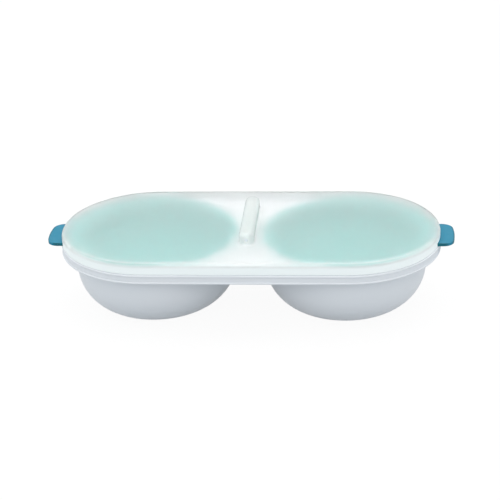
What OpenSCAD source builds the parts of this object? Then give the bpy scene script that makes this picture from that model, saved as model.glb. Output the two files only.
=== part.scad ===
// Microwave egg cooker for two eggs, standing on a table.
// A white tray with two water bowls carries two lift-out egg cups. Each cup has a thumb tab
// that passes out between the tray and the frosted lid. The lid has a hollow grip.
// Millimetres, +Z up. The origin is on the table, under the middle of the tray.

/* [Tray] */
// Length of the tray over its rim
tray_l = 210.8; // [204:0.2:224]
// Width of the tray over its rim, twice the radius of its round ends
tray_w = 102; // [99:0.2:106]
// Height of the deck's top above the table
deck_h = 39.2; // [34:0.2:46]
// Thickness of the deck
deck_t = 1.8; // [1.4:0.1:2.4]
// How far the rim's wall hangs below the deck's top
rim_drop = 5.4; // [4.4:0.1:9]
// Thickness of the rim's wall
rim_t = 1.6; // [1.2:0.1:2.2]
// Radius of the rim's upper edge
rim_edge_r = 0.9; // [0.4:0.1:1.2]
// Radius of the bead along the rim's lower edge
bead_r = 0.6; // [0.4:0.05:0.8]
// How far the rim's wall stands back from its upper edge and its bead
rim_relief = 0.4; // [0.1:0.05:0.5]
// Thickness of the lip that locates the lid and the cups
lip_t = 1.2; // [0.9:0.1:1.6]

/* [Bowls] */
// Outer radius of each water bowl
bowl_r = 44.8; // [41:0.1:45.6]
// Wall of the bowls
bowl_t = 1.6; // [1.2:0.1:2.2]
// Outer radius of the curve from wall to foot
bowl_curve_r = 25; // [16:0.5:28]
// How far each bowl's axis lies inside the centre of the tray's round end
bowl_inset = 1.7; // [0:0.1:2.4]
// Radius of the fillet between the bowls and the underside of the deck
bowl_fillet_r = 2.4; // [1:0.1:3]
// Width of the ring that each bowl stands on
foot_ring_w = 3.2; // [2:0.1:6]
// Depth of the recess inside that ring
foot_recess = 0.5; // [0.2:0.1:0.8]

/* [Cups] */
// Thickness of the cups' flange and thumb tab
flange_t = 1.6; // [1.2:0.1:2.2]
// Radius of the flange's outer edge, top and bottom
flange_edge_r = 0.5; // [0.2:0.1:0.5]
// Wall of the cups
cup_t = 1.5; // [1.1:0.1:2]
// Depth of the cups below their flange's top
cup_depth = 23.5; // [21:0.5:29]
// Outer radius of the curve from wall to floor
cup_curve_r = 19; // [12:0.5:20]
// Radius of the cups' mouth
cup_mouth_r = 2; // [0.8:0.1:2.2]
// Width of each thumb tab
tab_w = 26.8; // [22:0.2:36]
// How far each thumb tab stands out past the tray's rim
tab_out = 7.4; // [6:0.2:16]
// Radius of the thumb tab's corners
tab_corner_r = 6.2; // [3:0.2:8]

/* [Lid] */
// Height of the lid without its grip
lid_h = 6.8; // [6:0.1:12]
// Wall of the lid
lid_t = 1.5; // [1.1:0.1:1.8]
// Radius of the lid's upper edge
lid_edge_r = 2.6; // [2:0.1:4]
// Radius of the lid's lower edge
lid_foot_r = 0.5; // [0.2:0.1:0.7]
// How far the lid's outline lies inside the tray's rim
lid_inset = 0.4; // [0:0.1:0.8]

/* [Grip] */
// Length of the grip
grip_l = 55; // [40:1:70]
// Width of the grip
grip_w = 8; // [7.4:0.2:12]
// Height of the grip above the lid's top
grip_h = 6.5; // [5.6:0.1:10]
// Radius of the grip's upper edge
grip_edge_r = 2.4; // [2:0.1:3.4]
// Radius of the fillet around the grip's foot
grip_foot_r = 1.2; // [0.6:0.1:1.4]
// Bore of the steam outlet in the grip's front end
vent_d = 2.2; // [1.6:0.1:2.4]
// Wall between the steam outlet and the fillet below it
vent_land = 0.4; // [0.2:0.1:0.6]

/* [Clearances] */
// Between the lid's skirt and the locating lip
lid_gap = 0.4; // [0.3:0.05:0.6]
// Between the lip's top and the underside of the lid
lip_top_gap = 1.1; // [0.5:0.1:2]
// Between the cups' flange and the locating lip
flange_gap = 0.3; // [0.3:0.05:0.6]
// Between the cups and the inside of the bowls
cup_gap = 1.4; // [1.2:0.1:2.4]
// Between each thumb tab and the notch at its sides
tab_side_gap = 0.5; // [0.3:0.1:1.2]
// Between each thumb tab and the lid above it
tab_top_gap = 0.4; // [0.3:0.1:1]

/* [Hidden] */
$fn = 96;

// How far joined shapes run into each other, and how far cuts run past a face
lap = 0.3;
cut = 1;

// Round ends: every outline is a stadium about the same two end centres
end_r = tray_w / 2;
end_x = tray_l / 2 - end_r;
bowl_x = end_x - bowl_inset;

// Radial fits, from the rim inwards
lid_r = end_r - lid_inset;
lip_outer_r = lid_r - lid_t - lid_gap;
lip_inner_r = lip_outer_r - lip_t;
flange_r = lip_inner_r - flange_gap;
rim_face_r = end_r - rim_relief;
bowl_inner_r = bowl_r - bowl_t;
cup_r = bowl_inner_r - cup_gap;

// Heights, from the table up
deck_under = deck_h - deck_t;
rim_foot = deck_h - rim_drop;
flange_top = deck_h + flange_t;
cup_foot = flange_top - cup_depth;
lid_top = deck_h + lid_h;
lip_top = lid_top - lid_t - lip_top_gap;
foot_flat_r = bowl_r - bowl_curve_r;

// Thumb tab: each round corner touches the straight side, and the curved end at an angle
// of tab_corner_turn from the tab's axis
tab_end_r = end_r + tab_out;
tab_corner_turn = asin((tab_w / 2 - tab_corner_r) / (tab_end_r - tab_corner_r));
tab_corner_x = end_x + (tab_end_r - tab_corner_r) * cos(tab_corner_turn);

// Notches for the thumb tab, and the grip
notch_w = tab_w + 2 * tab_side_gap;
notch_top = flange_top + tab_top_gap;
grip_span = grip_l - grip_w;
grip_top = lid_top + grip_h;
vent_z = lid_top + grip_foot_r + vent_land + vent_d / 2;

// Sweeps a profile, drawn as radius and height, round a stadium with the given span
// between the centres of its ends
module around_stadium(span) {
    for (end = [0, 1])
        mirror([end, 0, 0])
            translate([span / 2, 0, 0])
                rotate([0, 0, -90])
                    rotate_extrude(angle = 180)
                        children();
    for (side = [0, 1])
        mirror([0, side, 0])
            translate([-span / 2, 0, 0])
                rotate([90, 0, 90])
                    linear_extrude(span)
                        children();
}

// Puts a copy of what follows at the left and at the right, as mirror images
module both_ends() {
    for (end = [0, 1])
        mirror([end, 0, 0])
            children();
}

// Material in an inside corner: a square with a quarter circle taken out of it.
// It runs past the corner by lap on both sides.
module fillet_2d(r) {
    difference() {
        translate([-lap, -lap])
            square(r + lap);
        translate([r, r])
            circle(r);
    }
}

// Half section of a block with a rounded upper outer edge, from the axis out to r
module domed_block_2d(r, low, top, edge_r) {
    translate([0, low])
        square([r, top - low - edge_r]);
    translate([0, low])
        square([r - edge_r, top - low]);
    intersection() {
        translate([r - edge_r, top - edge_r])
            circle(edge_r);
        translate([0, low])
            square([r, top - low]);
    }
}

// Half section of a round bowl: straight wall, one curve, flat floor
module bowl_2d(r, curve_r, low, top) {
    translate([0, low + curve_r])
        square([r, top - low - curve_r]);
    translate([0, low])
        square([r - curve_r, curve_r + lap]);
    intersection() {
        translate([r - curve_r, low + curve_r])
            circle(curve_r);
        translate([0, low])
            square([r, curve_r + lap]);
    }
}

// Half section of the deck with its rim wall and bead
module deck_2d() {
    translate([0, deck_under])
        square([rim_face_r, deck_t - rim_edge_r]);
    translate([0, deck_under])
        square([end_r - rim_edge_r, deck_t]);
    translate([end_r - rim_edge_r, deck_h - rim_edge_r])
        circle(rim_edge_r);
    translate([rim_face_r - rim_t, rim_foot + bead_r])
        square([rim_t, rim_drop - bead_r - rim_edge_r]);
    translate([rim_face_r - rim_t, rim_foot])
        square([end_r - bead_r - rim_face_r + rim_t, 2 * bead_r]);
    translate([end_r - bead_r, rim_foot + bead_r])
        circle(bead_r);
}

// Half section of the locating lip, which stands on the deck
module lip_2d() {
    translate([lip_inner_r, deck_h - lap])
        square([lip_t, lip_top - deck_h + lap - lip_t / 2]);
    translate([lip_inner_r + lip_t / 2, lip_top - lip_t / 2])
        circle(lip_t / 2);
}

// Half section of the flange, rounded along its outer edge
module flange_2d() {
    translate([0, deck_h])
        square([flange_r - flange_edge_r, flange_t]);
    translate([0, deck_h + flange_edge_r])
        square([flange_r, flange_t - 2 * flange_edge_r]);
    for (z = [deck_h + flange_edge_r, flange_top - flange_edge_r])
        translate([flange_r - flange_edge_r, z])
            circle(flange_edge_r);
}

// Outline of the thumb tab at the right-hand end, from inside the flange: two straight
// sides, two round corners, and an end that is concentric with the flange
module tab_2d() {
    end_reach = 2 * tab_end_r;
    translate([end_x, -tab_w / 2])
        square([tab_corner_x - end_x, tab_w]);
    for (side = [-1, 1])
        translate([tab_corner_x, side * (tab_w / 2 - tab_corner_r)])
            circle(tab_corner_r);
    translate([end_x, 0])
        intersection() {
            circle(tab_end_r);
            polygon([
                [0, 0],
                end_reach * [cos(tab_corner_turn), -sin(tab_corner_turn)],
                end_reach * [cos(tab_corner_turn), sin(tab_corner_turn)],
            ]);
        }
}

// Half section of the space inside a cup, with its rounded mouth
module cup_space_2d() {
    inner_r = cup_r - cup_t;
    bowl_2d(inner_r, cup_curve_r - cup_t, cup_foot + cup_t, flange_top + cut);
    difference() {
        translate([inner_r - lap, flange_top - cup_mouth_r])
            square([cup_mouth_r + lap, cup_mouth_r + cut]);
        translate([inner_r + cup_mouth_r, flange_top - cup_mouth_r])
            circle(cup_mouth_r);
    }
}

// Cup at the right-hand end
module cup() {
    difference() {
        union() {
            translate([end_x, 0, 0])
                rotate_extrude()
                    flange_2d();
            translate([0, 0, deck_h])
                linear_extrude(flange_t)
                    tab_2d();
            translate([bowl_x, 0, 0])
                rotate_extrude()
                    bowl_2d(cup_r, cup_curve_r, cup_foot, deck_h + lap);
        }
        translate([bowl_x, 0, 0])
            rotate_extrude()
                cup_space_2d();
    }
}

// Half section of the lid's skirt foot, where its outer lower edge is rounded off
module lid_foot_cut_2d() {
    difference() {
        translate([lid_r - lid_foot_r, deck_h - cut])
            square([lid_foot_r + cut, lid_foot_r + cut]);
        translate([lid_r - lid_foot_r, deck_h + lid_foot_r])
            circle(lid_foot_r);
    }
}

// Notch for a thumb tab through a round wall at the right-hand end. Its sides run along
// the wall's radii, and it is as wide as the tab's passage at the wall's inner face.
module tab_notch(inner_r, outer_r, low, top) {
    half_angle = asin(notch_w / 2 / inner_r);
    translate([end_x, 0, 0])
        rotate([0, 0, -half_angle])
            rotate_extrude(angle = 2 * half_angle)
                translate([inner_r - lap, low])
                    square([outer_r - inner_r + 2 * lap, top - low]);
}

// Half section of the grip with the fillet around its foot
module grip_2d() {
    domed_block_2d(grip_w / 2, lid_top - lap, grip_top, grip_edge_r);
    translate([grip_w / 2, lid_top])
        fillet_2d(grip_foot_r);
}

module tray() {
    color("whitesmoke")
    difference() {
        union() {
            around_stadium(2 * end_x)
                deck_2d();
            difference() {
                around_stadium(2 * end_x)
                    lip_2d();
                both_ends()
                    tab_notch(lip_inner_r, lip_outer_r, deck_h - cut, lip_top + cut);
            }
            both_ends()
                translate([bowl_x, 0, 0])
                    rotate_extrude() {
                        bowl_2d(bowl_r, bowl_curve_r, 0, deck_h);
                        translate([bowl_r, deck_under])
                            mirror([0, 1])
                                fillet_2d(bowl_fillet_r);
                    }
        }
        both_ends() {
            translate([bowl_x, 0, 0])
                rotate_extrude()
                    bowl_2d(bowl_inner_r, bowl_curve_r - bowl_t, bowl_t, deck_h + cut);
            translate([bowl_x, 0, -cut])
                cylinder(r = foot_flat_r - foot_ring_w, h = foot_recess + cut);
        }
    }
}

module cup_left() {
    color("steelblue")
    mirror([1, 0, 0])
        cup();
}

module cup_right() {
    color("steelblue")
    cup();
}

module lid() {
    color("lightcyan")
    difference() {
        union() {
            around_stadium(2 * end_x)
                difference() {
                    domed_block_2d(lid_r, deck_h, lid_top, lid_edge_r);
                    translate([0, -cut])
                        domed_block_2d(lid_r - lid_t, deck_h, lid_top - lid_t + cut,
                            lid_edge_r - lid_t);
                    lid_foot_cut_2d();
                }
            rotate([0, 0, 90])
                around_stadium(grip_span)
                    grip_2d();
        }
        rotate([0, 0, 90])
            around_stadium(grip_span)
                domed_block_2d(grip_w / 2 - lid_t, lid_top - lid_t - cut, grip_top - lid_t,
                    grip_edge_r - lid_t);
        both_ends()
            tab_notch(lid_r - lid_t, lid_r, deck_h - cut, notch_top);
        translate([0, -grip_span / 2, vent_z])
            rotate([90, 0, 0])
                cylinder(d = vent_d, h = grip_w);
    }
}

tray();
cup_left();
cup_right();
lid();
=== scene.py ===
import math

import bpy
from mathutils import Matrix, Vector

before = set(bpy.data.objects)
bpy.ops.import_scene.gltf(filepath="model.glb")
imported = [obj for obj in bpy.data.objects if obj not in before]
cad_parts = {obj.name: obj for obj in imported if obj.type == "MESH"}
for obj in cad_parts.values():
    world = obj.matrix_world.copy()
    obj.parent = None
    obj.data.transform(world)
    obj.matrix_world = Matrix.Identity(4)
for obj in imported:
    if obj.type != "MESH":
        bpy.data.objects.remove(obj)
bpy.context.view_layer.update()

MM = 0.001
WHITE = "#ffffff"

# Camera: where it stands round the cooker, and how far the middle of the lid's top lies from
# the middle of the picture, across and up
VIEW_AZIMUTH = math.radians(5.12)
VIEW_ELEVATION = math.radians(24.57)
VIEW_ROLL = math.radians(-2.06)
VIEW_DISTANCE = 828.4 * MM
VIEW_ACROSS = -0.11 * MM
VIEW_UP = 13.87 * MM
LENS = 107.55
SENSOR = 36.0
CLIP_START = 10.0 * MM

# Studio light: radiance of the surroundings, and the width, place and radiance of each lamp's
# face. The side lamp stands on the right, and another like it on the left
SURROUNDINGS = 0.66
OVERHEAD_SIZE = 2.0
OVERHEAD_PLACE = (0.0, 0.2, 1.5)
OVERHEAD_RADIANCE = 1.66
FRONT_SIZE = 0.9
FRONT_PLACE = (0.0, -1.2, 0.7)
FRONT_RADIANCE = 0.9
SIDE_SIZE = 0.8
SIDE_PLACE = (1.3, -0.5, 0.35)
SIDE_RADIANCE = 1.35

# Floor: share of plain white that the camera sees on it, and the colour that it throws back
FLOOR_SIZE = 6.0
FLOOR_WHITE = 0.94
FLOOR_BOUNCE = "#c0c4c8"

# Tray: two whites that drift into each other
TRAY_WHITE = "#d9dfe4"
TRAY_WHITE_WARM = "#dde1e5"
TRAY_ROUGHNESS = (0.38, 0.48)
TRAY_SKIN = 0.12

# Cups: mint up to the first of these distances from the middle of the cooker, teal past the
# second
# The bowl's mint is painted light: the light that the deep cup's walls pass to each other,
# painted over the teal
BOWL_MINT_PAINTED_LIGHT = "#47b5b2"
TAB_TEAL = "#1e7b97"
PAINTED_MINT_END_X = 98.0 * MM
TEAL_START_X = 105.0 * MM
CUP_ROUGHNESS = (0.38, 0.5)
CUP_SKIN = 0.15

# Thumb tab: its reach from the centre of the lid's round end, half its width, and how far in
# from its outline the painted shade deepens the colour
TAB_OUTLINE_PAINTED_SHADE = "#15606f"
TAB_REACH = 58.4 * MM
TAB_HALF = 13.4 * MM
TAB_OUTLINE_SHADE_WIDTH = 1.1 * MM

# Lid: the centre and radius of its round ends, its wall and its top
LID_END_X = 54.4 * MM
LID_RADIUS = 50.6 * MM
LID_WALL = 1.5 * MM
LID_TOP = 46.0 * MM
LID_ROUGHNESS = (0.47, 0.53)
FROST = 0.1
FROST_DETAIL = 3.0

# Clearness: the share of light that passes a face of the lid. It drops slowly from EDGE_START
# to the inside of the skirt, then fast to EDGE_FULL, measured from the lid's middle line
TOP_CLEARNESS = 0.97
INNER_EDGE_CLEARNESS = 0.88
EDGE_START = 43.0 * MM
EDGE_INSIDE = LID_RADIUS - LID_WALL
EDGE_FULL = LID_RADIUS - 0.6 * MM

# The edge is clearer at the lid's ends than along its sides, and turns from one to the other
# between these distances from the lid's length axis
END_EDGE_CLEARNESS = 0.75
SIDE_EDGE_CLEARNESS = 0.45
END_EDGE_Y = 10.0 * MM
SIDE_EDGE_Y = 35.0 * MM

# The skirt is nearly opaque up to SKIRT_TOP, and as clear as the edge from SKIRT_CLEAR
SKIRT_CLEARNESS = 0.05
SKIRT_TOP = LID_TOP - 3.2 * MM
SKIRT_CLEAR = LID_TOP - 1.6 * MM

# The grip takes over within this height above the lid's top
GRIP_RISE = 0.8 * MM
GRIP_CLEARNESS = 0.8
GRIP_ROUGHNESS = 0.6

# Colour of the light that passes the lid, and of the light that its haze scatters back
CLEAR_COLOUR = "#fffefd"
SKIRT_HAZE = "#f7ffff"
TOP_HAZE = "#d2dcdb"
# The mint is painted light: the cups' colour carried into the haze of the lid's edge
PAINTED_CUP_LIGHT = "#5aada7"
# The grip's haze is the lid's own faint mint, darkened by painted shade below the rest of the
# lid's haze
GRIP_HAZE_PAINTED_SHADE = "#a9c6c2"

# The cups' colour is painted into the haze over their edge as mint light, up to this far from a
# cup's axis, less the step that a line of sight takes between the lid's edge and the cup's
PAINTED_CUP_LIGHT_STEP = 6.0 * MM
PAINTED_CUP_LIGHT_FULL = 43.5 * MM
PAINTED_CUP_LIGHT_NONE = 46.5 * MM

# Widths of the patches in each pattern: the clouds that the melt's flow leaves, the drifts of
# the sheen, and the grains of the skin. A real satin skin is grained at about 0.1 mm and a
# blasted one at 0.15 mm, too fine to show, so both are drawn coarser
MELT_CLOUD = 28.0 * MM
TRAY_SHEEN = 6.0 * MM
CUP_SHEEN = 5.0 * MM
LID_SHEEN = 9.0 * MM
SKIN_GRAIN = 0.6 * MM
SKIN_DEPTH = 0.05 * MM
FROST_GRAIN = 0.7 * MM
FROST_DEPTH = 0.04 * MM

# Most values of a noise lie between these
NOISE_LOW = 0.3
NOISE_HIGH = 0.7

# Polypropylene bends light by this much
POLYPROPYLENE_IOR = 1.49

# A blasted face has no sharp boundary with the air, so it mirrors less than a polished one
FROSTED_IOR = 1.4

# A fine moulded skin scatters part of the shine away, so less than the usual 0.5 is left
SATIN_SHINE = 0.2

# Settings of nodes
SMOOTH = {"interpolation_type": "SMOOTHSTEP"}
COLOURS = {"data_type": "RGBA"}


def linear(colour):
    """An sRGB hex colour as linear RGBA."""
    parts = [int(colour[i:i + 2], 16) / 255 for i in (1, 3, 5)]
    return [c / 12.92 if c <= 0.04045 else ((c + 0.055) / 1.055) ** 2.4 for c in parts] + [1.0]


def add_node(tree, kind, settings=None, *values, **inputs):
    """Adds a node. settings are its own fields. values go on its inputs in their order, and
    inputs by their names, with _ for a space. Each is a number, a colour, a socket, or a node,
    which stands for the first of its outputs that is in use."""
    node = tree.nodes.new(kind)
    for name, value in (settings or {}).items():
        setattr(node, name, value)
    named = [(node.inputs[name.replace("_", " ")], value) for name, value in inputs.items()]
    for socket, value in [*zip(node.inputs, values), *named]:
        if isinstance(value, bpy.types.Node):
            value = next(output for output in value.outputs if output.enabled)
        if isinstance(value, bpy.types.NodeSocket):
            tree.links.new(value, socket)
        else:
            socket.default_value = value
    return node


def new_material(name):
    material = bpy.data.materials.new(name)
    material.use_nodes = True
    material.node_tree.nodes.clear()
    return material, material.node_tree


def patchy_roughness(tree, place, patch, low, high):
    """A roughness that drifts between low and high, in patches of this width."""
    noise = add_node(tree, "ShaderNodeTexNoise", Vector=place, Scale=1 / patch)
    return add_node(tree, "ShaderNodeMapRange", None, noise, NOISE_LOW, NOISE_HIGH, low, high)


def moulded_skin(tree, place, grain, depth, strength, detail=2.0):
    """The small bumps that a textured mould leaves."""
    noise = add_node(
        tree, "ShaderNodeTexNoise", Vector=place, Scale=1 / grain, Detail=detail
    )
    return add_node(tree, "ShaderNodeBump", Height=noise, Strength=strength, Distance=depth)


def distance(tree, x, y):
    """Length of the line from the origin to x, y."""
    point = add_node(tree, "ShaderNodeCombineXYZ", X=x, Y=y)
    return add_node(tree, "ShaderNodeVectorMath", {"operation": "LENGTH"}, point)


def middle_distance(tree, axes):
    """How far a point lies from the line between the centres of the lid's round ends."""
    reach = add_node(tree, "ShaderNodeMath", {"operation": "ABSOLUTE"}, axes["X"])
    past_end = add_node(tree, "ShaderNodeMath", {"operation": "SUBTRACT"}, reach, LID_END_X)
    past_end = add_node(tree, "ShaderNodeMath", {"operation": "MAXIMUM"}, past_end, 0.0)
    return distance(tree, past_end, axes["Y"])


def satin_white_polypropylene():
    """Polypropylene with white pigment, injection moulded in an eroded steel mould.
    It gives the eye a soft broad sheen over a faintly cool white, and a very fine skin."""
    material, tree = new_material("satin_white_polypropylene")
    place = add_node(tree, "ShaderNodeTexCoord").outputs["Object"]
    cloud = add_node(tree, "ShaderNodeTexNoise", Vector=place, Scale=1 / MELT_CLOUD)
    colour = add_node(
        tree, "ShaderNodeMix", COLOURS,
        Factor=cloud, A=linear(TRAY_WHITE), B=linear(TRAY_WHITE_WARM),
    )
    shader = add_node(
        tree, "ShaderNodeBsdfPrincipled", Base_Color=colour,
        Roughness=patchy_roughness(tree, place, TRAY_SHEEN, *TRAY_ROUGHNESS),
        IOR=POLYPROPYLENE_IOR, Specular_IOR_Level=SATIN_SHINE,
        Normal=moulded_skin(tree, place, SKIN_GRAIN, SKIN_DEPTH, TRAY_SKIN),
    )
    add_node(tree, "ShaderNodeOutputMaterial", Surface=shader)
    return material


def cup_colour(tree, axes):
    """Painted light as mint in the bowl, and teal on the thumb tab, with painted shade along
    the tab's outline.
    """
    reach = add_node(tree, "ShaderNodeMath", {"operation": "ABSOLUTE"}, axes["X"])
    across = add_node(tree, "ShaderNodeMath", {"operation": "ABSOLUTE"}, axes["Y"])
    outer = add_node(
        tree, "ShaderNodeMapRange", SMOOTH, middle_distance(tree, axes),
        TAB_REACH - TAB_OUTLINE_SHADE_WIDTH, TAB_REACH, 0.0, 1.0,
    )
    beside = add_node(
        tree, "ShaderNodeMapRange", SMOOTH, across, TAB_HALF - TAB_OUTLINE_SHADE_WIDTH, TAB_HALF, 0.0, 1.0
    )
    outline = add_node(tree, "ShaderNodeMath", {"operation": "MAXIMUM"}, outer, beside)
    # Painted shade: the teal darkens towards the tab's outline
    tab = add_node(
        tree, "ShaderNodeMix", COLOURS,
        Factor=outline, A=linear(TAB_TEAL), B=linear(TAB_OUTLINE_PAINTED_SHADE),
    )
    # Painted light: the bowl is lightened to mint for the light that its walls pass to each
    # other
    toward_tab = add_node(
        tree, "ShaderNodeMapRange", SMOOTH, reach, PAINTED_MINT_END_X, TEAL_START_X, 0.0, 1.0
    )
    return add_node(
        tree, "ShaderNodeMix", COLOURS, Factor=toward_tab, A=linear(BOWL_MINT_PAINTED_LIGHT), B=tab
    )


def satin_teal_polypropylene():
    """Polypropylene with teal pigment, moulded with a satin skin. The light that the deep cup's
    walls pass on to each other is painted into its colour as a lighter mint, so the thin thumb
    tab reads bluer, and painted shade darkens the tab's outline, because less light comes back
    out of it there."""
    material, tree = new_material("satin_teal_polypropylene")
    place = add_node(tree, "ShaderNodeTexCoord").outputs["Object"]
    axes = add_node(tree, "ShaderNodeSeparateXYZ", Vector=place).outputs
    shader = add_node(
        tree, "ShaderNodeBsdfPrincipled", Base_Color=cup_colour(tree, axes),
        Roughness=patchy_roughness(tree, place, CUP_SHEEN, *CUP_ROUGHNESS),
        IOR=POLYPROPYLENE_IOR, Specular_IOR_Level=SATIN_SHINE,
        Normal=moulded_skin(tree, place, SKIN_GRAIN, SKIN_DEPTH, CUP_SKIN),
    )
    add_node(tree, "ShaderNodeOutputMaterial", Surface=shader)
    return material


def lid_clearness(tree, axes):
    """The share of light that passes each face of the lid. It drops in the lid's rounded edge
    and the grip's walls, and most in the skirt, which light reaches along its own wall."""
    from_middle = middle_distance(tree, axes)
    across = add_node(tree, "ShaderNodeMath", {"operation": "ABSOLUTE"}, axes["Y"])
    edge = add_node(
        tree, "ShaderNodeMapRange", SMOOTH, across, END_EDGE_Y, SIDE_EDGE_Y,
        END_EDGE_CLEARNESS, SIDE_EDGE_CLEARNESS,
    )
    top = add_node(
        tree, "ShaderNodeMapRange", SMOOTH, from_middle, EDGE_START, EDGE_INSIDE,
        TOP_CLEARNESS, INNER_EDGE_CLEARNESS,
    )
    top = add_node(
        tree, "ShaderNodeMapRange", SMOOTH, from_middle, EDGE_INSIDE, EDGE_FULL, top, edge
    )
    shell = add_node(
        tree, "ShaderNodeMapRange", SMOOTH, axes["Z"], SKIRT_TOP, SKIRT_CLEAR,
        SKIRT_CLEARNESS, top,
    )
    return add_node(
        tree, "ShaderNodeMapRange", SMOOTH, axes["Z"], LID_TOP, LID_TOP + GRIP_RISE,
        shell, GRIP_CLEARNESS,
    )


def haze_colour(tree, axes):
    """White, and painted mint light on the outside of the rounded edge next to the cups, for
    the cups' colour that the haze would carry."""
    reach = add_node(tree, "ShaderNodeMath", {"operation": "ABSOLUTE"}, axes["X"])
    across = add_node(tree, "ShaderNodeMath", {"operation": "ABSOLUTE"}, axes["Y"])
    cup_x = add_node(tree, "ShaderNodeMath", {"operation": "SUBTRACT"}, reach, LID_END_X)
    cup_y = add_node(tree, "ShaderNodeMath", {"operation": "SUBTRACT"}, across, PAINTED_CUP_LIGHT_STEP)
    in_edge = add_node(
        tree, "ShaderNodeMapRange", SMOOTH, middle_distance(tree, axes),
        EDGE_INSIDE, EDGE_FULL, 0.0, 1.0,
    )
    # Painted light: the share of the cups' mint painted into the edge's haze
    painted_cup_light_share = add_node(
        tree, "ShaderNodeMapRange", SMOOTH, distance(tree, cup_x, cup_y),
        PAINTED_CUP_LIGHT_FULL, PAINTED_CUP_LIGHT_NONE, in_edge, 0.0,
    )
    top = add_node(
        tree, "ShaderNodeMix", COLOURS, Factor=painted_cup_light_share, A=linear(TOP_HAZE), B=linear(PAINTED_CUP_LIGHT)
    )
    rising = add_node(
        tree, "ShaderNodeMapRange", SMOOTH, axes["Z"], SKIRT_TOP, LID_TOP, 0.0, 1.0
    )
    shell = add_node(tree, "ShaderNodeMix", COLOURS, Factor=rising, A=linear(SKIRT_HAZE), B=top)
    in_grip = add_node(
        tree, "ShaderNodeMapRange", SMOOTH, axes["Z"], LID_TOP, LID_TOP + GRIP_RISE, 0.0, 1.0
    )
    # Painted shade: the grip's haze is darker than the rest
    return add_node(
        tree, "ShaderNodeMix", COLOURS, Factor=in_grip, A=shell, B=linear(GRIP_HAZE_PAINTED_SHADE)
    )


def frosted_polypropylene():
    """Unpigmented polypropylene, moulded against a blasted steel face. It is milky, lets the
    colour below through, and blurs what lies a few millimetres under it."""
    material, tree = new_material("frosted_polypropylene")
    place = add_node(tree, "ShaderNodeTexCoord").outputs["Object"]
    axes = add_node(tree, "ShaderNodeSeparateXYZ", Vector=place).outputs
    clear = lid_clearness(tree, axes)
    # What is scattered back is cooler than what passes
    colour = add_node(
        tree, "ShaderNodeMix", COLOURS,
        Factor=clear, A=haze_colour(tree, axes), B=linear(CLEAR_COLOUR),
    )
    roughness = add_node(
        tree, "ShaderNodeMapRange", SMOOTH, axes["Z"], LID_TOP, LID_TOP + GRIP_RISE,
        patchy_roughness(tree, place, LID_SHEEN, *LID_ROUGHNESS), GRIP_ROUGHNESS,
    )
    shader = add_node(
        tree, "ShaderNodeBsdfPrincipled", Base_Color=colour, Roughness=roughness,
        IOR=FROSTED_IOR, Transmission_Weight=clear,
        Normal=moulded_skin(tree, place, FROST_GRAIN, FROST_DEPTH, FROST, FROST_DETAIL),
    )
    add_node(tree, "ShaderNodeOutputMaterial", Surface=shader)
    return material


def dress(node, material):
    """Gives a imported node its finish."""
    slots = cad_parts[node].data.materials
    slots.clear()
    slots.append(material)


def view_axes():
    """The camera's right, up and backward directions."""
    back = Vector((
        math.sin(VIEW_AZIMUTH) * math.cos(VIEW_ELEVATION),
        -math.cos(VIEW_AZIMUTH) * math.cos(VIEW_ELEVATION),
        math.sin(VIEW_ELEVATION),
    ))
    level = Vector((math.cos(VIEW_AZIMUTH), math.sin(VIEW_AZIMUTH), 0))
    upright = back.cross(level)
    right = math.cos(VIEW_ROLL) * level + math.sin(VIEW_ROLL) * upright
    return right, back.cross(right), back


def add_camera():
    right, up, back = view_axes()
    place = Vector((0, 0, LID_TOP)) + VIEW_DISTANCE * back
    place -= VIEW_ACROSS * right + VIEW_UP * up
    camera = bpy.data.objects.new("camera", bpy.data.cameras.new("camera"))
    camera.data.lens = LENS
    camera.data.sensor_width = SENSOR
    camera.data.clip_start = CLIP_START
    camera.matrix_world = Matrix((right, up, back)).transposed().to_4x4()
    camera.location = place
    bpy.context.scene.collection.objects.link(camera)
    bpy.context.scene.camera = camera


def add_softbox(name, size, radiance, place):
    """A square lamp that faces the middle of the cooker."""
    lamp = bpy.data.lights.new(name, "AREA")
    lamp.shape = "SQUARE"
    lamp.size = size
    lamp.energy = radiance * math.pi * size * size
    box = bpy.data.objects.new(name, lamp)
    box.location = place
    box.rotation_euler = Vector(place).to_track_quat("Z", "Y").to_euler()
    bpy.context.scene.collection.objects.link(box)


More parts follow.
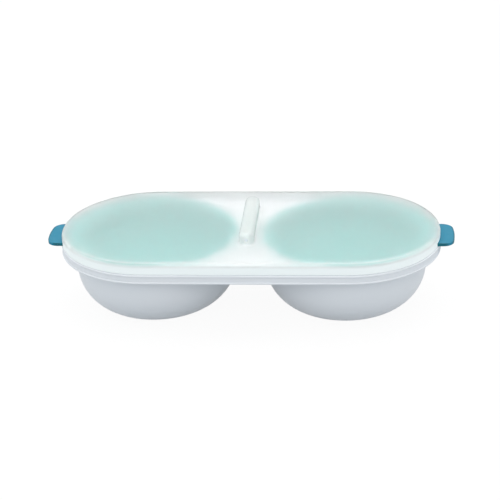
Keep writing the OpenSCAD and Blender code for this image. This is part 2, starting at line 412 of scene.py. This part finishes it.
def seen_directly(tree):
    """1 for what the camera sees, also in a gloss or through the lid, and 0 for plain light."""
    path = add_node(tree, "ShaderNodeLightPath").outputs
    seen = path["Is Camera Ray"]
    for ray in ("Is Glossy Ray", "Is Transmission Ray"):
        seen = add_node(tree, "ShaderNodeMath", {"operation": "MAXIMUM"}, seen, path[ray])
    return seen


def add_surroundings():
    """White where it is seen, and a plain even light on the cooker."""
    world = bpy.data.worlds.new("studio")
    world.use_nodes = True
    tree = world.node_tree
    tree.nodes.clear()
    strength = add_node(
        tree, "ShaderNodeMapRange", Value=seen_directly(tree), To_Min=SURROUNDINGS, To_Max=1.0
    )
    glow = add_node(tree, "ShaderNodeBackground", Color=linear(WHITE), Strength=strength)
    add_node(tree, "ShaderNodeOutputWorld", Surface=glow)
    bpy.context.scene.world = world


def add_floor():
    """A white floor that keeps a faint soft shadow."""
    bpy.ops.mesh.primitive_plane_add(size=FLOOR_SIZE)
    floor = bpy.context.object
    floor.name = "floor"
    material, tree = new_material("white_floor")
    seen = seen_directly(tree)
    colour = add_node(
        tree, "ShaderNodeMix", COLOURS, Factor=seen, A=linear(FLOOR_BOUNCE), B=linear(WHITE)
    )
    share = add_node(tree, "ShaderNodeMath", {"operation": "MULTIPLY"}, seen, FLOOR_WHITE)
    lit = add_node(tree, "ShaderNodeBsdfDiffuse", Color=colour)
    white = add_node(tree, "ShaderNodeEmission", Color=linear(WHITE), Strength=1.0)
    both = add_node(tree, "ShaderNodeMixShader", None, share, lit, white)
    add_node(tree, "ShaderNodeOutputMaterial", Surface=both)
    floor.data.materials.append(material)


teal = satin_teal_polypropylene()
dress("tray", satin_white_polypropylene())
dress("cup_left", teal)
dress("cup_right", teal)
dress("lid", frosted_polypropylene())

add_camera()
add_surroundings()
add_floor()
add_softbox("overhead", OVERHEAD_SIZE, OVERHEAD_RADIANCE, OVERHEAD_PLACE)
add_softbox("front", FRONT_SIZE, FRONT_RADIANCE, FRONT_PLACE)
for name, side in (("left_side", -1), ("right_side", 1)):
    add_softbox(name, SIDE_SIZE, SIDE_RADIANCE, (side * SIDE_PLACE[0], *SIDE_PLACE[1:]))

bpy.context.scene.view_settings.view_transform = "Standard"
# Light that passes the frosted lid keeps its true spread, so the inside isn't darkened
bpy.context.scene.cycles.blur_glossy = 0
